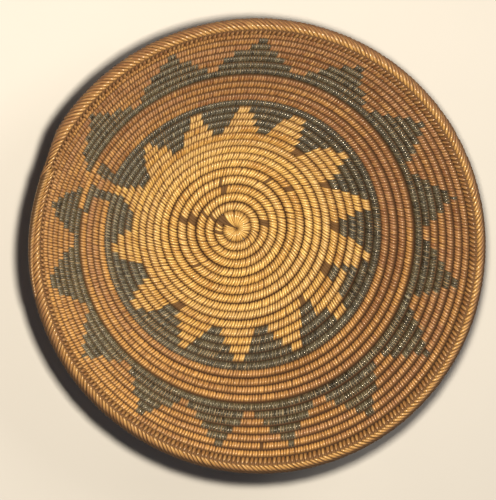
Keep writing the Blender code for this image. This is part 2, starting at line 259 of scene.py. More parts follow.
class Coil:
    """The coil's middle line, the directions round it and the bed that its rods make."""

    def __init__(self):
        sizes = settings("coil")
        stitches = settings("stitches")
        self.pitch = sizes.pitch
        self.angle = sizes.pathway
        self.first = sizes.button_turns
        self.plain_end = self.first + sizes.courses
        self.end = self.plain_end + 1
        self.ramp = sizes.ramp_turns
        self.end_ramp = sizes.end_ramp_turns
        self.flat = sizes.flat_length
        self.bend = sizes.bend_length
        self.wall = self.end * self.pitch - self.flat - self.bend
        self.slopes = (sizes.wall_slope, sizes.rim_slope)
        self.course_radius = sizes.course_thickness / 2
        self.rim_radius = sizes.rim_thickness / 2
        self.bed = (stitches.bed_reach, stitches.bed_height)
        self.border_reach = stitches.border_reach
        self.bite = stitches.bite
        self.fullness = stitches.fullness
        self.rim_bed = self.rim_radius - RIM_COVER
        step = self.pitch / PROFILE_STEPS
        self.lengths = np.arange((ceil(self.end) + 2) * PROFILE_STEPS) * step
        slopes = self.slope(self.lengths[:-1] + step / 2)
        self.radii = np.concatenate(([0], np.cumsum(np.cos(slopes) * step)))
        self.heights = np.concatenate(([0], np.cumsum(np.sin(slopes) * step)))
        self.heights += sizes.middle_height

    def slope(self, length):
        """Slope of the bowl at a length along its profile."""
        wall = np.clip((length - self.flat - self.bend) / self.wall, 0, None)
        low, high = self.slopes
        return rise(length, self.flat, self.bend) * (low + (high - low) * wall)

    def swell(self, turn):
        """How far the coil has thickened into the rim."""
        return smooth(np.minimum((turn - self.plain_end) / self.ramp,
                                 (self.end - turn) / self.end_ramp))

    def drift(self, turn):
        """How far the hand-sewn coil lies outside a round one, in plan."""
        sizes = settings("coil")
        angle = self.angle + FULL_TURN * turn
        share = np.clip(turn / self.plain_end, 0, 1)
        midway = (sizes.midway_shift * np.cos(angle - sizes.midway_shift_side)
                  + sizes.midway_ovality * np.cos(2 * (angle - sizes.midway_long_side)))
        rim = (sizes.rim_shift * np.cos(angle - sizes.rim_shift_side)
               + sizes.rim_ovality * np.cos(2 * (angle - sizes.rim_long_side)))
        corners = sizes.corners * np.cos(CORNER_COUNT * (angle - sizes.corners_side))
        return ((midway + corners) * np.sin(pi * share ** MIDWAY_ONSET)
                + (rim + corners) * share ** RIM_ONSET)

    def waver(self, turn):
        """How far the hand-laid courses stray up and down the slope; nothing at the rim."""
        share = np.clip(turn / self.plain_end, 0, 1)
        waves = sum(size * np.sin(pace * turn + start) for size, pace, start in WAVER_WAVES)
        there = smooth(share * WAVER_ONSET)
        return settings("coil").wobble * waves * there * smooth((1 - share) * WAVER_END)

    def reach(self, turn):
        """Length along the bowl's profile at a turn."""
        thicker = (self.rim_radius - self.course_radius) * self.swell(turn)
        return turn * self.pitch + thicker + self.waver(turn)

    def radius(self, turn):
        """Distance from the bowl's axis at a turn."""
        return np.interp(self.reach(turn), self.lengths, self.radii) + self.drift(turn)

    def middle(self, turn):
        """The coil's middle, and the directions up the bowl's slope and out of its inner face."""
        length = self.reach(turn)
        height = np.interp(length, self.lengths, self.heights)[..., None]
        slope = self.slope(length)[..., None]
        angle = self.angle + FULL_TURN * turn
        out = np.stack((np.cos(angle), np.sin(angle), np.zeros_like(angle)), -1)
        up = np.array((0.0, 0.0, 1.0))
        middle = out * self.radius(turn)[..., None] + up * height
        rising = out * np.cos(slope) + up * np.sin(slope)
        facing = up * np.cos(slope) - out * np.sin(slope)
        return middle, rising, facing

    def bed_sizes(self, turn):
        """Half sizes of the rods' bundle, along the slope and across it."""
        swell = self.swell(turn)
        reach, height = self.bed
        reach = reach + (self.border_reach - reach) * rise(turn, start=11, over=13)
        return reach + (self.rim_bed - reach) * swell, height + (self.rim_bed - height) * swell

    def surface(self, turn, around, lift):
        """Points on the rods' bundle; around is 0 outside, a quarter turn on the inner face."""
        middle, rising, facing = self.middle(turn)
        reach, height = self.bed_sizes(turn)
        across, over = np.cos(around), np.sin(around)
        wider = powered(across, self.fullness) * reach + across * lift
        wider = wider - self.bite * np.clip(-across, 0, 1) ** BITE_SHARPNESS
        higher = powered(over, self.fullness) * height + over * lift
        return settle(middle + rising * wider[..., None] + facing * higher[..., None])

    def core(self, turn, around):
        """Points on the rods inside the stitches; they meet the next course in the groove."""
        middle, rising, facing = self.middle(turn)
        reach, height = (size - CORE_INSET for size in self.bed_sizes(turn))
        across, over = np.cos(around), np.sin(around)
        tip = np.maximum(0, self.pitch / 2 + CORE_OVERLAP - reach) * (1 - self.swell(turn))
        wider = across * reach + powered(across, CORE_SHARPNESS) * tip
        higher = powered(over, self.fullness) * height
        return settle(middle + rising * wider[..., None] + facing * higher[..., None])


class ButtonCoil(Coil):
    """The start button: one flat ring from the hole out to the first course."""

    hole = 0.5 * MM
    hole_offset = 1.7 * MM
    offset_reach = 6 * MM
    edge_gap = 0.1 * MM
    cover = 0.3 * MM

    def shifted(self, points):
        """Draw the hole aside, as it lies on the basket."""
        away = np.hypot(points[..., 0], points[..., 1]) / self.offset_reach
        points[..., 0] += self.hole_offset * np.clip(1 - away, 0, 1)
        return points

    def surface(self, turn, around, lift):
        return self.shifted(super().surface(turn, around, lift))

    def core(self, turn, around):
        return self.shifted(super().core(turn, around))

    def edge(self, turn):
        """Distance from the axis to the button's edge; it grows by a pitch round the button."""
        return (turn - 0.5) * self.pitch - self.edge_gap

    def reach(self, turn):
        return (self.edge(turn) + self.hole) / 2

    def bed_sizes(self, turn):
        half = (self.edge(turn) - self.hole) / 2 - self.cover
        return half, np.full_like(half, self.bed[1])


class TailCoil(Coil):
    """The thinned end of the coil, laid along the outside of the rim's first stretch."""

    cover = 0.25 * MM

    def tail_radius(self, turn):
        """Half the tail's thickness."""
        end = settings("coil").tail_thickness / 2
        share = (turn - self.plain_end) / self.ramp
        return self.course_radius + (end - self.course_radius) * share

    def middle(self, turn):
        middle, rising, facing = super().middle(turn)
        gap = self.pitch - 2 * self.course_radius
        swell = (self.rim_radius - self.course_radius) * self.swell(turn)
        away = self.course_radius + swell + gap + self.tail_radius(turn)
        return middle + rising * away[..., None], rising, facing

    def bed_sizes(self, turn):
        radius = self.tail_radius(turn) - self.cover
        return radius, radius


def settle(points):
    """Press what would reach below the table flat, without a hard edge."""
    height = points[..., 2]
    pressed = SOFT_LAYER * np.exp((height - SOFT_LAYER) / SOFT_LAYER)
    points[..., 2] = np.where(height < SOFT_LAYER, pressed, height)
    return points


# Section of a splint: places across it, in widths, and heights over the rods, in crowns
SECTION_ACROSS = np.array((-0.5, -0.31, 0.0, 0.31, 0.5))
SECTION_HEIGHT = np.array((0.0, 0.72, 1.0, 0.72, 0.0))
STITCH_STATIONS = 14
SHARP_ANGLE = radians(70)
# Stretches into which a course is cut to measure its length
COURSE_STRETCHES = 400
# How the stitches differ from one another, as standard deviations
PLACE_STRAY = 0.07
LEAN_STRAY = radians(3)
COVER_STRAY = 0.06
LIFT_STRAY = 0.05 * MM
CROWN_STRAY = 0.10
# The same in tone, tint and slack: from splint to splint, and from stitch to stitch
SPLINT_STRAYS = np.array(((0.85,), (0.26,), (0.7,)))
STITCH_STRAYS = np.array(((0.45,), (0.10,), (0.6,)))
MIDDLE_TINT = 0.5
# The fewest and the most stitches that one splint sews
SPLINT_STITCHES = (12, 40)
# How deep a splint's edges lie in the rods, and its crown in the groove and what the face adds
SPLINT_SINK = 0.08 * MM
GROOVE_CROWN, FACE_CROWN = 0.55, 0.45
WAIST_EASE = 0.7
# A dark splint's least cover, and how much tighter they are laid on one side
LEAST_COVER, TIGHTER_SIDE = 0.6, 0.07
# The painted shade of the materials' grooves, between courses and at a splint's edges: how sharply
# it gathers, and how deep it is at the edges
VALLEY_SHARPNESS, EDGE_SHARPNESS, EDGE_SHADE_DEPTH = 1.5, 2, 0.8
# Start of a splint in the fibres' noise: its range, and how far it moves along and in depth
NOISE_RANGE, NOISE_ALONG, NOISE_DEPTH = 400, 7, 3
# How tone and tint change over the bowl
STRAW_DEEPER, BROWNED, BROWNED_TINT = 1.5, 1.9, 0.35
BROWNED_SIDE, BROWNED_WIDTH, BROWNED_EASE = 275, 50, 1.4
RUST_MAUVE, DARK_STRAY, DARK_GREY, OUTER_DARK_GREY = 0.12, 1.1, 0.3, 0.5
STAIN_DEPTH = 1.75


def stitch_turns(coil, first, last, spacing, rng, stray):
    """Turns at which stitches stand, evenly spaced along the coil, with small errors."""
    fine = np.linspace(first, last, COURSE_STRETCHES)
    middles = (fine[1:] + fine[:-1]) / 2
    run = np.concatenate(([0], np.cumsum(coil.radius(middles) * np.diff(fine)))) * FULL_TURN
    count = max(2, round(run[-1] / spacing))
    places = np.arange(count) + 0.5 + rng.normal(0, PLACE_STRAY, count) * stray
    return np.interp(places * run[-1] / count, run, fine)


def splint_runs(count, rng):
    """Tone, tint and slack of each stitch: a splint sews a few dozen, then the next takes over."""
    run = np.zeros(count, int)
    start = number = 0
    while start < count:
        stop = start + int(rng.integers(*SPLINT_STITCHES))
        run[start:stop] = number
        start, number = stop, number + 1
    splints = rng.normal(0, 1, (3, number))[:, run]
    stitches = rng.normal(0, 1, (3, count))
    tone, tint, slack = SPLINT_STRAYS * splints + STITCH_STRAYS * stitches
    return tone, MIDDLE_TINT + tint, slack


class Row:
    """A row of splints round the coil, with what the materials read on each of their points."""

    def __init__(self, coil, turns, around, rng):
        self.coil, self.turns, self.around, self.rng = coil, turns, around, rng

    def wrap(self, shift, width, lift, crown):
        """Close a band round the coil for each splint; each size has a row for each splint."""
        radius = self.coil.radius(self.turns)[:, None, None]
        self.across = SECTION_ACROSS * width[..., None]
        at = self.turns[:, None, None] + (shift[..., None] + self.across) / (FULL_TURN * radius)
        height = lift[..., None] + SECTION_HEIGHT * crown[..., None]
        around = np.broadcast_to(self.around[:, None], at.shape)
        self.points = self.coil.surface(at, around, height).reshape(-1, 3)
        index = np.arange(at.size).reshape(at.shape)
        after = np.roll(index, -1, axis=1)
        side = np.roll(index, -1, axis=2)
        both = np.roll(after, -1, axis=2)
        self.quads = np.stack((index, after, both, side), -1).reshape(-1, 4)

    def spread(self, values):
        """Values of the splints or of places on them, as one for each point."""
        return np.broadcast_to(values, self.across.shape).ravel()

    def mark(self, tone, tint):
        """Note each point's place along its splint, tone, tint, wear, and its depth in a groove,
        which the materials paint as shade.
        """
        girth = pi * sum(self.coil.bed_sizes(self.turns))
        run = self.around / FULL_TURN * girth[:, None]
        start = self.rng.uniform(0, NOISE_RANGE, len(self.turns))[:, None, None]
        place = np.stack(np.broadcast_arrays(
            (self.across + start * MM) / MM,
            (run[..., None] + start * NOISE_ALONG * MM) / MM,
            start * NOISE_DEPTH), -1)
        # Painted shade: darker towards the grooves between courses, and towards the splint's edges
        valley_shade = np.abs(np.cos(self.around)) ** VALLEY_SHARPNESS
        edge = np.abs(SECTION_ACROSS * 2) ** EDGE_SHARPNESS
        worn = self.rng.uniform(0, 1, len(self.turns))
        self.layers = {"place": place.reshape(-1, 3)}
        for name, values in (("tone", tone), ("tint", tint), ("worn", worn)):
            self.layers[name] = self.spread(values[:, None, None])
        groove = np.clip(np.maximum(valley_shade[:, None], EDGE_SHADE_DEPTH * edge), 0, 1)
        self.layers["groove"] = self.spread(groove)

    def soil(self, stains, depth):
        """Soil the splints in the stained runs all round: the stains raise the same value as a
        groove's painted shade and take its colours.
        """
        stained = in_runs(photo_angle(self.turns), stains)[:, None, None]
        self.layers["groove"] = np.maximum(self.layers["groove"], self.spread(depth * stained))

    def lay(self, name, colour, slot, node):
        """Put the row in the scene as one piece."""
        mesh = make_mesh(name, self.points, self.quads, self.layers, SHARP_ANGLE)
        add_piece(name, mesh, splint_material(colour), slot, node)


def make_mesh(name, points, faces, layers, sharp_angle):
    """A mesh from points and four-sided faces, with a value on each point for each layer."""
    mesh = bpy.data.meshes.new(name)
    mesh.vertices.add(len(points))
    mesh.vertices.foreach_set("co", np.ascontiguousarray(points, np.float32).ravel())
    mesh.loops.add(faces.size)
    mesh.loops.foreach_set("vertex_index", faces.astype(np.int32).ravel())
    mesh.polygons.add(len(faces))
    mesh.polygons.foreach_set("loop_start", np.arange(0, faces.size, 4, dtype=np.int32))
    mesh.update(calc_edges=True)
    for layer, values in layers.items():
        kind, key = ("FLOAT_VECTOR", "vector") if values.ndim == 2 else ("FLOAT", "value")
        attribute = mesh.attributes.new(layer, kind, "POINT")
        attribute.data.foreach_set(key, np.ascontiguousarray(values, np.float32).ravel())
    mesh.shade_smooth()
    mesh.set_sharp_from_angle(angle=sharp_angle)
    return mesh


def add_piece(name, mesh, material, slot, *nodes):
    """Put a piece in the scene in place of its CAD nodes."""
    piece = bpy.data.objects.new(name, mesh)
    bpy.context.scene.collection.objects.link(piece)
    mesh.materials.append(material)
    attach(piece, "root")
    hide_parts(*nodes)


def sew(coil, turns, colour, node, rng, slant, stains=()):
    """One piece of plain stitching in one colour."""
    count = len(turns)
    if not count:
        return
    sizes = settings("stitches")
    stray = sizes.unevenness
    row = Row(coil, turns, ring(STITCH_STATIONS), rng)
    face = np.abs(np.sin(row.around))
    lean = slant + rng.normal(0, LEAN_STRAY, count) * stray
    shift = -np.tan(lean)[:, None] * sizes.bed_reach * np.cos(row.around)
    tone, tint, slack = splint_runs(count, rng)
    cover = getattr(sizes, colour + "_cover") * (1 + rng.normal(0, COVER_STRAY, count) * stray)
    angle = photo_angle(turns)
    # right: 1 on the side where the painted shade deepens the splints most; the dark splints'
    # tighter cover and the brown splints' mauve cast follow it too
    right = np.cos(np.radians(angle) + sizes.shaded_side)
    if colour == "dark":
        cover = np.clip(cover - sizes.slack * slack + TIGHTER_SIDE * right, LEAST_COVER, 1)
    waist = sizes.waist + (1 - sizes.waist) * face ** WAIST_EASE
    lift = rng.normal(0, LIFT_STRAY, count)[:, None] * stray * face - SPLINT_SINK
    crown = sizes.crown * (1 + rng.normal(0, CROWN_STRAY, count)[:, None] * stray)
    crown = crown * (GROOVE_CROWN + FACE_CROWN * face)
    row.wrap(shift, (sizes.spacing * cover)[:, None] * waist, lift, crown)
    if colour == "straw":
        there = smooth(BROWNED_EASE - np.abs((angle - BROWNED_SIDE) / BROWNED_WIDTH))
        browned = rise(turns, start=12.5, over=2) * there
        tone = tone - STRAW_DEEPER * rise(turns, start=8, over=6) - BROWNED * browned
        tint = tint + BROWNED_TINT * browned
    elif colour == "rust":
        # Painted shade: brown splints deeper in tone towards one side
        tone = tone - sizes.brown_side_shade * right
        tint = tint + RUST_MAUVE * right
    else:
        # Painted shade: dark splints deeper in tone towards one side; random differences from
        # stitch to stitch
        tone = tone - sizes.dark_side_shade * right + rng.normal(0, DARK_STRAY, count) * stray
        tint = tint + DARK_GREY - OUTER_DARK_GREY * rise(turns, start=16, over=6)
    row.mark(tone, tint)
    row.soil(stains, STAIN_DEPTH)
    row.lay(node + "_" + colour, colour, colour, node)


# The turn of the coil that points to the photograph's right
PATHWAY_TURN = 0.30
FIRST_COURSE = 2

# Dark runs of each course that holds two colours: from and to, in degrees clockwise from the
# right, as the steps of the pattern are counted on the basket
STEPS = {
    12: ((352.7, 1.3), (18.7, 26), (43, 50.7), (70.7, 78.7), (97.7, 105.7), (125, 134),
         (153.3, 161.7), (204, 211.3), (229.3, 236.7), (253.7, 259.3), (277.7, 284.3),
         (302, 308.7), (328.7, 335)),
    13: ((350.7, 2.7), (16.7, 19.3), (45, 54), (69.7, 81.7), (96, 108.7), (122.7, 135.3),
         (151.7, 165), (180.5, 191.5), (202.3, 214.5), (228.3, 238.7), (251, 263),
         (275, 286.3), (301, 311), (327.3, 337.3)),
    14: ((349, 5), (15, 31), (40.3, 57), (67, 84), (93.7, 111.3), (120.7, 138.3), (151, 167.7),
         (179.5, 195), (202, 217.7), (225.3, 242.3), (249.7, 264.5), (273.3, 288.3),
         (298.7, 314.3), (324.3, 340.3)),
    15: ((348, 7.7), (11.7, 34), (39.7, 58.7), (64, 87), (92, 114.3), (118.3, 143.7),
         (148.3, 172), (176.3, 197.7), (202, 220.6), (224, 244.3), (249.3, 266), (271.3, 291),
         (296.7, 319.3), (323, 343)),
    16: ((202, 198),),
    17: ((194.8, 197.7), (202.3, 205.8)),
    18: ((194.7, 198.3), (202.7, 206.5)),
    19: ((195, 199), (203.3, 207.5)),
    20: ((189.7, 199.2),),
    21: ((203.3, 190.5),),
    22: ((359, 17.3), (21.7, 39.3), (43, 62.3), (66.3, 86), (90.3, 108.7), (112, 132),
         (136.3, 155.3), (159.7, 178), (182.7, 198.2), (205.8, 227.7), (231.7, 254.3),
         (258, 281.7), (286.7, 308.3), (312, 332.7), (337, 354.3)),
    23: ((1.7, 15.7), (24, 37.3), (45, 60.7), (69.3, 84), (91.3, 106), (114, 129.3),
         (139, 153.7), (162, 177), (184.3, 196.4), (208, 225.5), (234.3, 252), (260, 279),
         (289.7, 306), (315, 330.7), (339.7, 352.3)),
    24: ((4.7, 14.3), (25.7, 35.3), (47.3, 58.7), (72.7, 82), (93.7, 103.3), (117.7, 127.7),
         (142.7, 151.3), (164.3, 175.5), (187, 196), (212, 221.9), (237.3, 249.7),
         (263, 276.3), (291.7, 303.3), (317.7, 328), (342, 350)),
    25: ((7.3, 12), (28.7, 33), (50.3, 56), (75.3, 80), (96, 101.3), (119.7, 125),
         (143.7, 149.3), (165.3, 173.7), (188, 194), (215.2, 220.3), (241, 247),
         (267.8, 273.5), (294.7, 301.3), (319.7, 326.3), (343, 347.7)),
    26: ((8.7, 11.3), (30, 32), (52, 54.3), (76.7, 78.3), (97, 99), (122.3, 124), (146, 147),
         (168.3, 172), (191, 193), (217.3, 219.3), (243.7, 246), (269.5, 271.7), (298, 300),
         (322, 324), (345.3, 346.7)),
}

# Brown smudges on the light splints, in the same degrees
STAINS = {
    2: ((165, 171), (192, 206)),
    3: ((345, 356), (199, 206)),
    4: ((248, 257),),
    5: ((188, 196), (249, 254)),
    6: ((134, 137), (188, 192), (302, 305)),
    7: ((320, 324),),
    11: ((19, 26), (44, 48), (125, 130), (302, 308), (329, 332), (354, 360)),
    25: ((41.4, 42.0),),
    26: ((85.6, 86.2),),
    27: ((86.0, 86.6),),
}


def photo_angle(turns):
    """Where turns of the coil lie, in degrees clockwise from the right."""
    return (PATHWAY_TURN - turns) * 360 % 360


def in_runs(angle, runs):
    """Which angles, in degrees, lie in one of the runs."""
    inside = np.zeros(len(angle), bool)
    for start, stop in runs:
        inside |= (angle - start) % 360 < (stop - start) % 360
    return inside


def under_dark(turns):
    """Where the coil is wrapped in dark splints: 1, else 0."""
    number = np.floor(turns - settings("coil").button_turns).astype(int) + FIRST_COURSE
    wrapped = np.zeros(len(turns))
    for course, runs in STEPS.items():
        here = number == course
        wrapped[here] = in_runs(photo_angle(turns[here]), runs)
    return wrapped


def sew_zone(zone, numbers, ground):
    """The courses of one zone: each in its ground colour, with the dark runs of the pattern."""
    coil = Coil()
    sizes = settings("stitches")
    for number in numbers:
        rng = np.random.default_rng(sizes.seed + number)
        first = coil.first + number - FIRST_COURSE
        turns = stitch_turns(coil, first, first + 1, sizes.spacing, rng, sizes.unevenness)
        share = (number - FIRST_COURSE) / (settings("coil").courses - 1)
        upright = rise(share, start=0.35, over=0.4)
        slant = sizes.centre_slant + (sizes.border_slant - sizes.centre_slant) * upright
        node = "course_%02d_%s" % (number, zone)
        dark = in_runs(photo_angle(turns), STEPS.get(number, ()))
        sew(coil, turns[~dark], ground, node, rng, slant, STAINS.get(number, ()))
        sew(coil, turns[dark], "dark", node, rng, slant)


ROD_SIDES = 12
ROD_SHARP_ANGLE = radians(50)
ROD_GROOVE_SHARPNESS = 4


def rods(name, coil, first, last, per_turn, slot, node):
    """A stretch of the foundation rods' bundle, closed at both ends."""
    stations = max(4, ceil((last - first) * per_turn)) + 1
    turns, around = np.broadcast_arrays(
        np.linspace(first, last, stations)[:, None], ring(ROD_SIDES)[None, :])
    ends = np.array((first, last))
    points = np.concatenate((coil.core(turns, around).reshape(-1, 3), coil.middle(ends)[0]))
    # Painted shade: darker on the rods' sides in the grooves between courses, and at their ends
    groove_shade = np.abs(np.cos(around)).ravel() ** ROD_GROOVE_SHARPNESS
    layers = {
        "place": points / MM,
        "pale": under_dark(np.concatenate((turns.ravel(), ends))),
        "groove": np.concatenate((groove_shade, (1, 1))),
    }
    index = np.arange(turns.size).reshape(turns.shape)
    side = np.roll(index, -1, axis=1)
    quads = np.stack((index[:-1], side[:-1], side[1:], index[1:]), -1).reshape(-1, 4)
    low, high = turns.size, turns.size + 1
    caps = []
    for a in range(0, ROD_SIDES, 2):
        b, c = a + 1, (a + 2) % ROD_SIDES
        caps.append((index[0, a], low, index[0, c], index[0, b]))
        caps.append((index[-1, a], index[-1, b], index[-1, c], high))
    mesh = make_mesh(name, points, np.concatenate((quads, caps)), layers, ROD_SHARP_ANGLE)
    add_piece(name, mesh, rod_material(), slot, node)


BUTTON_SPLINTS, BUTTON_STATIONS = 30, 20
BUTTON_COVER = 0.97
BUTTON_PLACE_STRAY = 0.06
BUTTON_LIFT_STRAY = 0.06 * MM
# Means and standard deviations of the button's splints
BUTTON_LEAN, BUTTON_TONE, BUTTON_TINT = (radians(4), radians(2)), (0.3, 0.6), (0.4, 0.2)
BUTTON_STAINS, BUTTON_STAIN_DEPTH = ((205, 222),), 1.9


def sew_button():
    """The knot in the middle: long splints fanned out from the hole to the first course."""
    coil = ButtonCoil()
    sizes = settings("stitches")
    rng = np.random.default_rng(sizes.seed)
    count = BUTTON_SPLINTS
    places = np.arange(count) + 0.5 + rng.normal(0, BUTTON_PLACE_STRAY, count)
    row = Row(coil, coil.first + places / count, ring(BUTTON_STATIONS), rng)
    around = row.around
    reach = coil.bed_sizes(row.turns)[0]
    lean = rng.normal(*BUTTON_LEAN, count)
    shift = -np.tan(lean)[:, None] * reach[:, None] * np.cos(around)
    width = FULL_TURN * coil.radius(row.turns) / count * BUTTON_COVER
    lift = rng.normal(0, BUTTON_LIFT_STRAY, count)[:, None] * np.abs(np.sin(around)) - SPLINT_SINK
    outer = np.clip(0.6 + np.cos(around), 0, 1)
    crown = sizes.crown * np.ones((count, 1)) * (0.4 + 0.6 * outer)
    row.wrap(shift, width[:, None] * np.ones_like(around), lift, crown)
    tone, tint = rng.normal(*BUTTON_TONE, count), rng.normal(*BUTTON_TINT, count)
    row.mark(tone, tint)
    row.soil(BUTTON_STAINS, BUTTON_STAIN_DEPTH)
    row.lay("start_button_splints", "straw", "straw", "start_button")


# The braid, in angles round the rim from its spine: outwards over the crest to where the strands
# turn under, and inwards to where they do
CREST_TO_UNDER, SPINE_TO_UNDER = radians(60), radians(120)
RIM_STATIONS = (16, 16, 12)
RIM_PLACE_STRAY, STRAND_STRAY, STRAND_LIFT_STRAY = 0.6, 0.05, 0.07 * MM
STRAND_SINK, CREST_LIFT, SPINE_DIP = 0.15 * MM, 0.45 * MM, 0.6 * MM
# How much narrower a strand is on the inside and at the spine
BEAD_NARROWER, SPINE_NARROWER = 0.13, 0.50
# Tone of the strands: part of the splints' tones, and how much deeper on one side, as painted shade
RIM_TONE, RIM_SIDE_SHADE = 0.8, 1.2
# The crest's gold, partly polish and partly painted light on the rim's top: everywhere, more on one
# side by painted light, and from strand to strand
GOLD, GOLD_SIDE_LIGHT, GOLD_STRAY = 0.82, 0.24, 0.10
# Where the light comes from round the rim, and the painted shade on the rim's outer side: how deep
# it is, where it starts, and how much less of it lies on the lit side
LIT_SIDE, UNDER_SHADE_DEPTH, UNDER_START, LIT_LESS = radians(255), 0.85, 0.62, 0.25
# The painted shade at the strands' edges: on all, more on the inside beads, and how sharply it
# gathers
STRAND_EDGE_SHADE, BEAD_EDGE_SHADE, STRAND_EDGE_SHARPNESS = 0.85, 0.1, 2.4


def strand_path(from_spine, sizes, radius):
    """How far a strand of the braid trails along the rim at each place round it."""
    inside, outside = np.clip(-from_spine, 0, None), np.clip(from_spine, 0, None)
    climb = np.tan(sizes.inner_slant) * radius
    edge = sizes.crest + CREST_TO_UNDER
    outer = sizes.crest_run * np.minimum(outside / sizes.crest, 1)
    outer = outer + sizes.outer_run * np.clip((outside - sizes.crest) / (edge - sizes.crest), 0, 1)
    inner = climb * np.minimum(inside, SPINE_TO_UNDER)
    back = sizes.crest_run + sizes.outer_run - climb * SPINE_TO_UNDER
    under = np.clip((inside - SPINE_TO_UNDER) / (FULL_TURN - edge - SPINE_TO_UNDER), 0, 1)
    return np.where(from_spine < 0, inner + back * under, outer)


def braid_rim():
    """The false braid: each strand climbs the rim's inside and turns back down the outside."""
    coil = Coil()
    sizes = settings("rim")
    stitches = settings("stitches")
    rng = np.random.default_rng(stitches.seed + 100)
    turns = stitch_turns(coil, coil.plain_end, coil.end, sizes.spacing, rng, RIM_PLACE_STRAY)
    count = len(turns)
    edge = sizes.crest + CREST_TO_UNDER
    marks = (edge, 0, -SPINE_TO_UNDER, edge - FULL_TURN)
    from_spine = np.concatenate([
        np.linspace(start, stop, stations, endpoint=False)
        for start, stop, stations in zip(marks, marks[1:], RIM_STATIONS)])
    row = Row(coil, turns, (sizes.spine - from_spine) % FULL_TURN, rng)
    radius = np.mean(np.array(coil.bed_sizes(turns)), axis=0)
    shift = strand_path(from_spine[None, :], sizes, radius[:, None])
    bead = rise(-from_spine, start=0, over=radians(16))
    bead = bead * (1 - rise(-from_spine / SPINE_TO_UNDER, start=0.8, over=0.4))
    crest = hump(from_spine, middle=sizes.crest * 0.55, width=sizes.crest * 0.55)
    dip = hump(from_spine, middle=radians(-4), width=radians(7))
    taper = hump(from_spine, middle=radians(-5), width=radians(13))
    width = sizes.spacing * (1 + rng.normal(0, STRAND_STRAY, count))[:, None]
    width = width * (1 - BEAD_NARROWER * bead - SPINE_NARROWER * taper)
    lift = rng.normal(0, STRAND_LIFT_STRAY, count)[:, None] - STRAND_SINK
    lift = lift + CREST_LIFT * crest - SPINE_DIP * dip
    crown = (sizes.crown + (sizes.bead - sizes.crown) * bead) * np.ones((count, 1))
    row.wrap(shift, width, lift, crown)
    tone, tint, _ = splint_runs(count, rng)
    angle = FULL_TURN * (PATHWAY_TURN - turns)
    # Painted shade: the strands deeper in tone towards one side
    right = np.cos(angle + stitches.shaded_side)
    row.mark(tone * RIM_TONE - RIM_SIDE_SHADE * right, tint)
    # Partly polish, partly painted light: the crest on the rim's top lighter gold, more so on one
    # side
    gold_and_top_light = rise(from_spine, start=radians(-3), over=radians(8))
    gold_and_top_light = gold_and_top_light * (1 - rise(from_spine, start=sizes.crest * 0.45, over=radians(24)))
    gold_and_top_light = gold_and_top_light * (GOLD + GOLD_SIDE_LIGHT * right + GOLD_STRAY * tone)[:, None]
    row.layers["crest"] = row.spread(gold_and_top_light[..., None])
    # Painted shade: darker towards the rim's inner groove, on its outer underside (less on the lit
    # side), in the spine's dip and at the strands' edges
    valley_shade = rise(-from_spine, start=radians(36), over=radians(46))
    lit = np.cos(angle - LIT_SIDE)[:, None]
    under = rise(from_spine, start=(UNDER_START + LIT_LESS * lit) * sizes.crest, over=radians(50))
    under = (UNDER_SHADE_DEPTH - LIT_LESS * lit) * under
    strand_edge_shade = np.abs(SECTION_ACROSS * 2) ** STRAND_EDGE_SHARPNESS
    strand_edge_shade = (STRAND_EDGE_SHADE + BEAD_EDGE_SHADE * bead)[:, None] * strand_edge_shade
    groove = np.maximum(np.maximum(valley_shade, under), dip)[..., None]
    row.layers["groove"] = row.spread(np.maximum(groove, strand_edge_shade))
    row.lay("rim_braid_strands", "crest", "braid", "rim_braid")


# The tail's stitches: from one to the next, how far the first and the last stand from its ends,
# in turns, their cover, lean and crown, and how polished they are
TAIL_SPACING, TAIL_MARGIN, TAIL_STRAY, TAIL_COVER = 2.2 * MM, 0.001, 0.5, 0.97
TAIL_SLANT, TAIL_SLANT_START = radians(38), radians(20)
TAIL_CROWN, TAIL_CROWN_SHARE = 0.5 * MM, 0.3
TAIL_TONE, TAIL_GOLD = 0.5, 0.8


def sew_tail():
    """The thinned end of the coil, sewn down along the rim's first stretch."""
    coil = TailCoil()
    rng = np.random.default_rng(settings("stitches").seed + 200)
    first, last = coil.plain_end + TAIL_MARGIN, coil.plain_end + coil.ramp - TAIL_MARGIN
    turns = stitch_turns(coil, first, last, TAIL_SPACING, rng, TAIL_STRAY)
    row = Row(coil, turns, ring(STITCH_STATIONS), rng)
    radius = coil.tail_radius(turns)[:, None]
    shift = tan(TAIL_SLANT) * radius * np.cos(row.around + TAIL_SLANT_START)
    crown = np.minimum(TAIL_CROWN, radius * TAIL_CROWN_SHARE) * np.ones_like(shift)
    row.wrap(shift, np.full_like(shift, TAIL_SPACING * TAIL_COVER), np.zeros_like(shift), crown)
    tone, tint, _ = splint_runs(len(turns), rng)
    row.mark(tone * TAIL_TONE, tint)
    row.layers["crest"] = np.full(len(row.points), TAIL_GOLD)
    row.lay("coil_tail_stitches", "crest", "braid", "coil_tail")


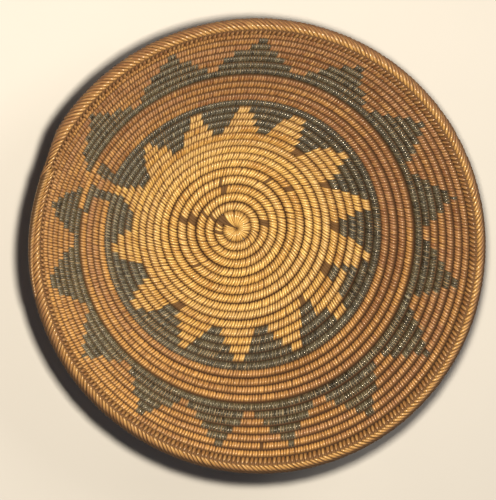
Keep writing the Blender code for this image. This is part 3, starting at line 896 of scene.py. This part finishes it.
class Nodes:
    """A node tree, and the means to fill it."""

    def __init__(self, tree):
        self.tree = tree

    def put(self, socket, source):
        """Give an input a constant, a colour or another node's output."""
        if isinstance(source, bpy.types.NodeSocket):
            self.tree.links.new(source, socket)
        elif socket.type == "RGBA":
            socket.default_value = (*source, 1)
        else:
            socket.default_value = source

    def add(self, kind, **values):
        """A node, with its options and inputs."""
        node = self.tree.nodes.new(kind)
        for key, value in values.items():
            if key in node.inputs:
                self.put(node.inputs[key], value)
            else:
                setattr(node, key, value)
        return node

    def read(self, name, output="Fac"):
        """A value or vector that the mesh holds on its points."""
        return self.add("ShaderNodeAttribute", attribute_type="GEOMETRY",
                        attribute_name=name).outputs[output]

    def maths(self, operation, first, second):
        """The sum, product or other result of two values."""
        node = self.add("ShaderNodeMath", operation=operation)
        self.put(node.inputs[0], first)
        self.put(node.inputs[1], second)
        return node.outputs[0]

    def ranged(self, source, low, high, new_low=0.0, new_high=1.0):
        """A value moved from one range to another and held there."""
        ends = {"From Min": low, "From Max": high, "To Min": new_low, "To Max": new_high}
        return self.add("ShaderNodeMapRange", clamp=True, Value=source, **ends).outputs["Result"]

    def mixed(self, share, first, second):
        """Two colours mixed by a share."""
        node = self.add("ShaderNodeMix", data_type="RGBA")
        self.put(node.inputs[0], share)
        self.put(node.inputs[6], first)
        self.put(node.inputs[7], second)
        return node.outputs[2]

    def covered(self, body, source, low, high, most, colour):
        """A colour laid over another: more of it as a value goes from low to high."""
        return self.mixed(self.ranged(source, low, high, 0.0, most), body, colour)

    def noise(self, vector, scale, detail, stretch=None):
        """Cloudy noise, drawn out along one direction where a stretch is given."""
        if stretch is not None:
            mapping = self.add("ShaderNodeMapping", Vector=vector, Scale=stretch)
            vector = mapping.outputs["Vector"]
        return self.add("ShaderNodeTexNoise", Vector=vector, Scale=scale,
                        Detail=detail).outputs["Fac"]


class Finish(Nodes):
    """A material and the nodes that give it its look."""

    def __init__(self, name):
        self.material = bpy.data.materials.new(name)
        self.material.use_nodes = True
        super().__init__(self.material.node_tree)
        self.inputs = self.tree.nodes["Principled BSDF"].inputs

    def coat(self, body, rough, specular):
        """Set the surface's colour, its roughness and how strongly it reflects."""
        self.put(self.inputs["Base Color"], body)
        self.put(self.inputs["Roughness"], rough)
        self.inputs["Specular IOR Level"].default_value = specular

    def raise_fibres(self, fibres, strength, depth):
        """Let the fibres stand out a little."""
        bump = self.add("ShaderNodeBump", Strength=strength, Distance=depth, Height=fibres)
        self.put(self.inputs["Normal"], bump.outputs["Normal"])


# Stretch of the noises, across and along a splint, in waves to a millimetre
FIBRE_STRETCH, BLOTCH_STRETCH = (2.6, 0.13, 1.0), (0.5, 0.22, 1.0)
TONE_RANGE = 2.4
# On the rim: how much of the level comes from the crest's gold, partly polish and partly painted
# light on the rim's top, and how much from the tone
CREST_WEIGHT, TONE_WEIGHT = 0.75, 0.35
# A rubbed splint's colour: the base times this, and a little more
RUBBED_GAIN, RUBBED_LIFT = (1.45, 1.6, 1.5), 0.04
SPLINT_ROUGHNESS, GROOVE_ROUGHNESS, DARK_GLOSS = (0.15, 0.28), 0.85, 0.8
SPLINT_SPECULAR, DARK_SPECULAR, ROD_SPECULAR = 0.45, 0.8, 0.08
SPLINT_SHEEN = (1.0, 0.88, 0.70, 1)
SHADED = 0.55


def splint_material(colour):
    """Split plant fibre: streaks along it, tones from splint to splint, painted shade in the
    grooves, and stains.
    """
    name = colour + "_splints"
    if name in bpy.data.materials:
        return bpy.data.materials[name]
    colours = settings("colours")
    base, shade, cast, shade_and_stain_colour = (
        getattr(colours, colour + part) for part in ("", "_shade", "_tint", "_groove"))
    rubbed = tuple(min(1, part * gain + RUBBED_LIFT) for part, gain in zip(base, RUBBED_GAIN))
    streaks, gloss, specular = 0.6, 1.0, SPLINT_SPECULAR
    if colour == "dark":
        streaks, gloss, specular = 0.3, DARK_GLOSS, DARK_SPECULAR
    finish = Finish(name)
    place = finish.read("place", "Vector")
    tone, tint, worn, groove = map(finish.read, ("tone", "tint", "worn", "groove"))
    fibres = finish.noise(place, 1.0, 2.0, FIBRE_STRETCH)
    blotches = finish.noise(place, 1.0, 2.0, BLOTCH_STRETCH)
    level = finish.ranged(tone, -TONE_RANGE, TONE_RANGE)
    if colour == "crest":
        # The crest's gold: partly polish, partly painted light on the rim's top
        polish_and_light = finish.maths("MULTIPLY", finish.read("crest"), CREST_WEIGHT)
        level = finish.maths("ADD", polish_and_light, finish.maths("MULTIPLY", level, TONE_WEIGHT))
        level = finish.ranged(level, 0.0, 1.0)
    body = finish.mixed(level, shade, base)
    # Value, where it starts to show and where it is full, how much it covers then, and colour
    for layer in ((tint, 0.3, 1.0, 0.75, cast), (fibres, 0.5, 0.75, streaks, rubbed),
                  (fibres, 0.5, 0.28, 0.5, shade), (blotches, 0.55, 0.75, 0.4, shade)):
        body = finish.covered(body, *layer)
    open_face = finish.ranged(groove, 0.0, 0.35, 1.0, 0.0)
    wear = finish.maths("MULTIPLY", open_face, finish.ranged(worn, 0.55, 1.0, 0.0, 0.3))
    body = finish.mixed(wear, body, rubbed)
    # Painted shade in the grooves and at the splints' edges; stains reach it too
    body = finish.covered(body, groove, 0.3, 0.9, 0.9, shade_and_stain_colour)
    # Stains, deeper still, and a little of the painted shade on the rim's outer side
    body = finish.covered(body, groove, 1.05, 2.0, 0.8, colours.grime_and_shade)
    least, most = (rough * gloss for rough in SPLINT_ROUGHNESS)
    rough = finish.maths("MAXIMUM", finish.ranged(fibres, 0.3, 0.7, least, most),
                         finish.ranged(groove, 0.35, 0.9, 0.0, GROOVE_ROUGHNESS))
    finish.coat(body, rough, specular)
    finish.inputs["Specular Tint"].default_value = SPLINT_SHEEN
    finish.raise_fibres(fibres, 0.55, 0.09 * MM)
    return finish.material


def rod_material():
    """The pale rods that show between the stitches, with a fibrous, matt surface; painted shade
    darkens them under the light splints and in the grooves.
    """
    name = "foundation_rods"
    if name in bpy.data.materials:
        return bpy.data.materials[name]
    colours = settings("colours")
    finish = Finish(name)
    place = finish.read("place", "Vector")
    fibres = finish.noise(place, 2.4, 4.0)
    patches = finish.noise(place, 0.05, 2.0)
    shaded = tuple(part * SHADED for part in colours.rods)
    body = finish.mixed(finish.ranged(fibres, 0.35, 0.7), shaded, colours.rods)
    body = finish.covered(body, patches, 0.4, 0.7, 0.4, colours.straw_shade)
    # Painted shade: rods that no dark splint covers take the darker shaded colour
    body = finish.mixed(finish.maths("SUBTRACT", 1.0, finish.read("pale")), body, colours.shaded_rods)
    # Painted shade in the grooves between courses
    body = finish.covered(body, finish.read("groove"), 0.15, 0.8, 1.0, colours.grime_and_shade)
    finish.coat(body, finish.ranged(fibres, 0.3, 0.7, 0.65, 0.9), ROD_SPECULAR)
    finish.raise_fibres(fibres, 0.6, 0.1 * MM)
    return finish.material


FILL_COLOUR, BACKDROP_COLOUR = (0.86, 0.86, 1.0), (0.84, 0.79, 0.70)
# Directions and colours of the lamps
MAIN_LAMP = ((-0.13, 0.21, 1.0), (1.0, 0.92, 0.79))
SIDE_LAMP = ((0.45, 0.45, 0.77), (1.0, 0.95, 0.88))
# The photograph: its height, its middle, where the bowl's middle lies, and the coil's scale
PHOTO_HEIGHT = 500
PHOTO_MIDDLE, BOWL_MIDDLE = (248, 250), (234.56, 228.2)
PIXELS_PER_PITCH = 9.083
SENSOR_WIDTH = 36


def make_floor(sizes):
    """A plain pale table."""
    half = sizes.floor_size / 2
    corners = np.array(((-half, -half, 0), (half, -half, 0), (half, half, 0), (-half, half, 0)))
    mesh = make_mesh("table", corners, np.array(((0, 1, 2, 3),)), {}, SHARP_ANGLE)
    floor = bpy.data.objects.new("table", mesh)
    bpy.context.scene.collection.objects.link(floor)
    finish = Finish("table_cover")
    cloud = finish.noise(finish.add("ShaderNodeTexCoord").outputs["Object"], 6.0, 3.0)
    darker = tuple(part * 0.97 for part in sizes.floor_colour)
    body = finish.mixed(finish.ranged(cloud, 0.3, 0.7), darker, sizes.floor_colour)
    finish.coat(body, rough=0.9, specular=0.5)
    mesh.materials.append(finish.material)


def add_lamp(name, direction, colour, distance, size, power):
    """A soft square lamp that looks at the basket."""
    lamp = bpy.data.lights.new(name, "AREA")
    lamp.shape = "SQUARE"
    lamp.size = size
    lamp.energy = power
    lamp.color = colour
    holder = bpy.data.objects.new(name, lamp)
    bpy.context.scene.collection.objects.link(holder)
    direction = Vector(direction).normalized()
    holder.location = direction * distance
    holder.rotation_mode = "QUATERNION"
    holder.rotation_quaternion = direction.to_track_quat("Z", "Y")


def add_camera(sizes):
    """The camera, high over the basket and a little to its left and far side."""
    camera = bpy.data.cameras.new("camera")
    camera.sensor_fit = "AUTO"
    camera.sensor_width = SENSOR_WIDTH
    coil = settings("coil")
    distance = sizes.camera_distance
    camera.lens = SENSOR_WIDTH * (distance / coil.pitch) * PIXELS_PER_PITCH / PHOTO_HEIGHT
    towards = Vector((sin(sizes.lean_sideways), sin(sizes.lean_back), 0))
    towards.z = sqrt(1 - towards.x ** 2 - towards.y ** 2)
    right = (Vector((1, 0, 0)) - towards * towards.x).normalized()
    above = towards.cross(right)
    across, down = (middle - bowl for middle, bowl in zip(PHOTO_MIDDLE, BOWL_MIDDLE))
    aim = Vector((0, 0, coil.middle_height))
    aim += (right * across - above * down) * coil.pitch / PIXELS_PER_PITCH
    holder = bpy.data.objects.new("camera", camera)
    bpy.context.scene.collection.objects.link(holder)
    holder.matrix_world = Matrix((right, above, towards)).transposed().to_4x4()
    holder.location = aim + towards * distance
    camera.clip_start = 0.01
    camera.clip_end = 50
    bpy.context.scene.camera = holder


def light_world(sizes):
    """Dim light from all round, and a pale backdrop that the camera and reflections see."""
    world = bpy.data.worlds.new("studio")
    world.use_nodes = True
    bpy.context.scene.world = world
    world.node_tree.nodes.clear()
    nodes = Nodes(world.node_tree)
    fill = nodes.add("ShaderNodeBackground", Color=FILL_COLOUR, Strength=sizes.fill)
    backdrop = nodes.add("ShaderNodeBackground", Color=BACKDROP_COLOUR, Strength=1)
    rays = nodes.add("ShaderNodeLightPath").outputs
    seen = rays["Is Camera Ray"]
    for ray in ("Is Glossy Ray", "Is Transmission Ray"):
        seen = nodes.maths("MAXIMUM", seen, rays[ray])
    mix = nodes.add("ShaderNodeMixShader", Fac=seen)
    nodes.put(mix.inputs[1], fill.outputs[0])
    nodes.put(mix.inputs[2], backdrop.outputs[0])
    nodes.add("ShaderNodeOutputWorld", Surface=mix.outputs[0])


# Stations of the rods in a turn, and half the gap between two stretches of them
START_RODS, COIL_RODS, RIM_RODS, BUTTON_RODS = 96, 240, 160, 48
ROD_GAP = 0.15 * MM
START_LOOPS = 2
# Almost a whole turn, so that the button's core doesn't meet itself
BUTTON_CORE_TURNS = 0.9999


class BASKET_OT_foundation(bpy.types.Operator):
    """Lay the rods that the stitches wrap"""
    bl_idname = "basket.foundation"
    bl_label = "Foundation"

    def execute(self, context):
        coil = Coil()
        gap = ROD_GAP / (FULL_TURN * coil.radius(np.array([coil.end]))[0])
        start, near, far = coil.first, coil.first + START_LOOPS, coil.plain_end
        rods("start_foundation_rods", coil, start + gap, near - gap, START_RODS,
             "rods", "start_foundation")
        rods("foundation_coil_rods", coil, near + gap, far - gap, COIL_RODS,
             "rods", "foundation_coil")
        rods("rim_foundation_rods", coil, far + gap, coil.end - gap, RIM_RODS,
             "rods", "rim_foundation")
        return {"FINISHED"}


class BASKET_OT_button(bpy.types.Operator):
    """Sew the start button"""
    bl_idname = "basket.button"
    bl_label = "Start Button"

    def execute(self, context):
        sew_button()
        coil = ButtonCoil()
        rods("start_button_core", coil, coil.first, coil.first + BUTTON_CORE_TURNS, BUTTON_RODS,
             "straw", "start_button")
        return {"FINISHED"}


class BASKET_OT_centre(bpy.types.Operator):
    """Sew the natural centre"""
    bl_idname = "basket.centre"
    bl_label = "Centre"

    def execute(self, context):
        sew_zone("centre", range(2, 12), "straw")
        return {"FINISHED"}


class BASKET_OT_star(bpy.types.Operator):
    """Sew the star, its dark notches and the inner dark ring"""
    bl_idname = "basket.star"
    bl_label = "Star and Inner Ring"

    def execute(self, context):
        sew_zone("star", range(12, 14), "straw")
        sew_zone("notch", range(14, 16), "straw")
        sew_zone("inner_ring", range(16, 17), "straw")
        return {"FINISHED"}


class BASKET_OT_band(bpy.types.Operator):
    """Sew the rust band"""
    bl_idname = "basket.band"
    bl_label = "Rust Band"

    def execute(self, context):
        sew_zone("band", range(17, 21), "rust")
        return {"FINISHED"}


class BASKET_OT_peaks(bpy.types.Operator):
    """Sew the outer dark ring with its stepped peaks, and the border"""
    bl_idname = "basket.peaks"
    bl_label = "Outer Ring, Peaks and Border"

    def execute(self, context):
        sew_zone("outer_ring", range(21, 22), "rust")
        sew_zone("peak_foot", range(22, 24), "rust")
        sew_zone("peak_top", range(24, 27), "rust")
        sew_zone("border", range(27, 28), "rust")
        return {"FINISHED"}


class BASKET_OT_rim(bpy.types.Operator):
    """Braid the rim and sew down the coil's end"""
    bl_idname = "basket.rim"
    bl_label = "Braided Rim"

    def execute(self, context):
        braid_rim()
        sew_tail()
        return {"FINISHED"}


class BASKET_OT_studio(bpy.types.Operator):
    """Set up the table, lamps, backdrop and camera"""
    bl_idname = "basket.studio"
    bl_label = "Studio"

    def execute(self, context):
        sizes = settings("studio")
        make_floor(sizes)
        light_world(sizes)
        add_lamp("main_lamp", *MAIN_LAMP, sizes.lamp_distance, sizes.lamp_size, sizes.lamp_power)
        add_lamp("side_lamp", *SIDE_LAMP, sizes.side_distance, sizes.side_size, sizes.side_power)
        add_camera(sizes)
        context.scene.view_settings.view_transform = "Standard"
        return {"FINISHED"}


OPERATORS = (
    BASKET_OT_foundation, BASKET_OT_button, BASKET_OT_centre, BASKET_OT_star, BASKET_OT_band,
    BASKET_OT_peaks, BASKET_OT_rim, BASKET_OT_studio)


class BASKET_PT_panel(bpy.types.Panel):
    """The basket's pieces and settings"""
    bl_label = "Coiled Basket"
    bl_idname = "BASKET_PT_panel"
    bl_space_type = "VIEW_3D"
    bl_region_type = "UI"
    bl_category = "Basket"

    def draw(self, context):
        for operator in OPERATORS:
            self.layout.operator(operator.bl_idname)
        for name in SETTINGS:
            group = getattr(context.scene, name)
            box = self.layout.box()
            for key in group.bl_rna.properties.keys():
                if key not in ("rna_type", "name"):
                    box.prop(group, key)


CLASSES = tuple(SETTINGS.values()) + OPERATORS + (BASKET_PT_panel,)


def register():
    """Make the settings, operators and panel known."""
    for made in CLASSES:
        bpy.utils.register_class(made)
    for name, group in SETTINGS.items():
        setattr(bpy.types.Scene, name, PointerProperty(type=group))


def unregister():
    """Take the settings, operators and panel away."""
    for name in SETTINGS:
        delattr(bpy.types.Scene, name)
    for made in reversed(CLASSES):
        bpy.utils.unregister_class(made)


def main():
    """Dress the basket, piece by piece."""
    register()
    bpy.ops.basket.foundation()
    bpy.ops.basket.button()
    bpy.ops.basket.centre()
    bpy.ops.basket.star()
    bpy.ops.basket.band()
    bpy.ops.basket.peaks()
    bpy.ops.basket.rim()
    bpy.ops.basket.studio()


if __name__ == "__main__":
    main()
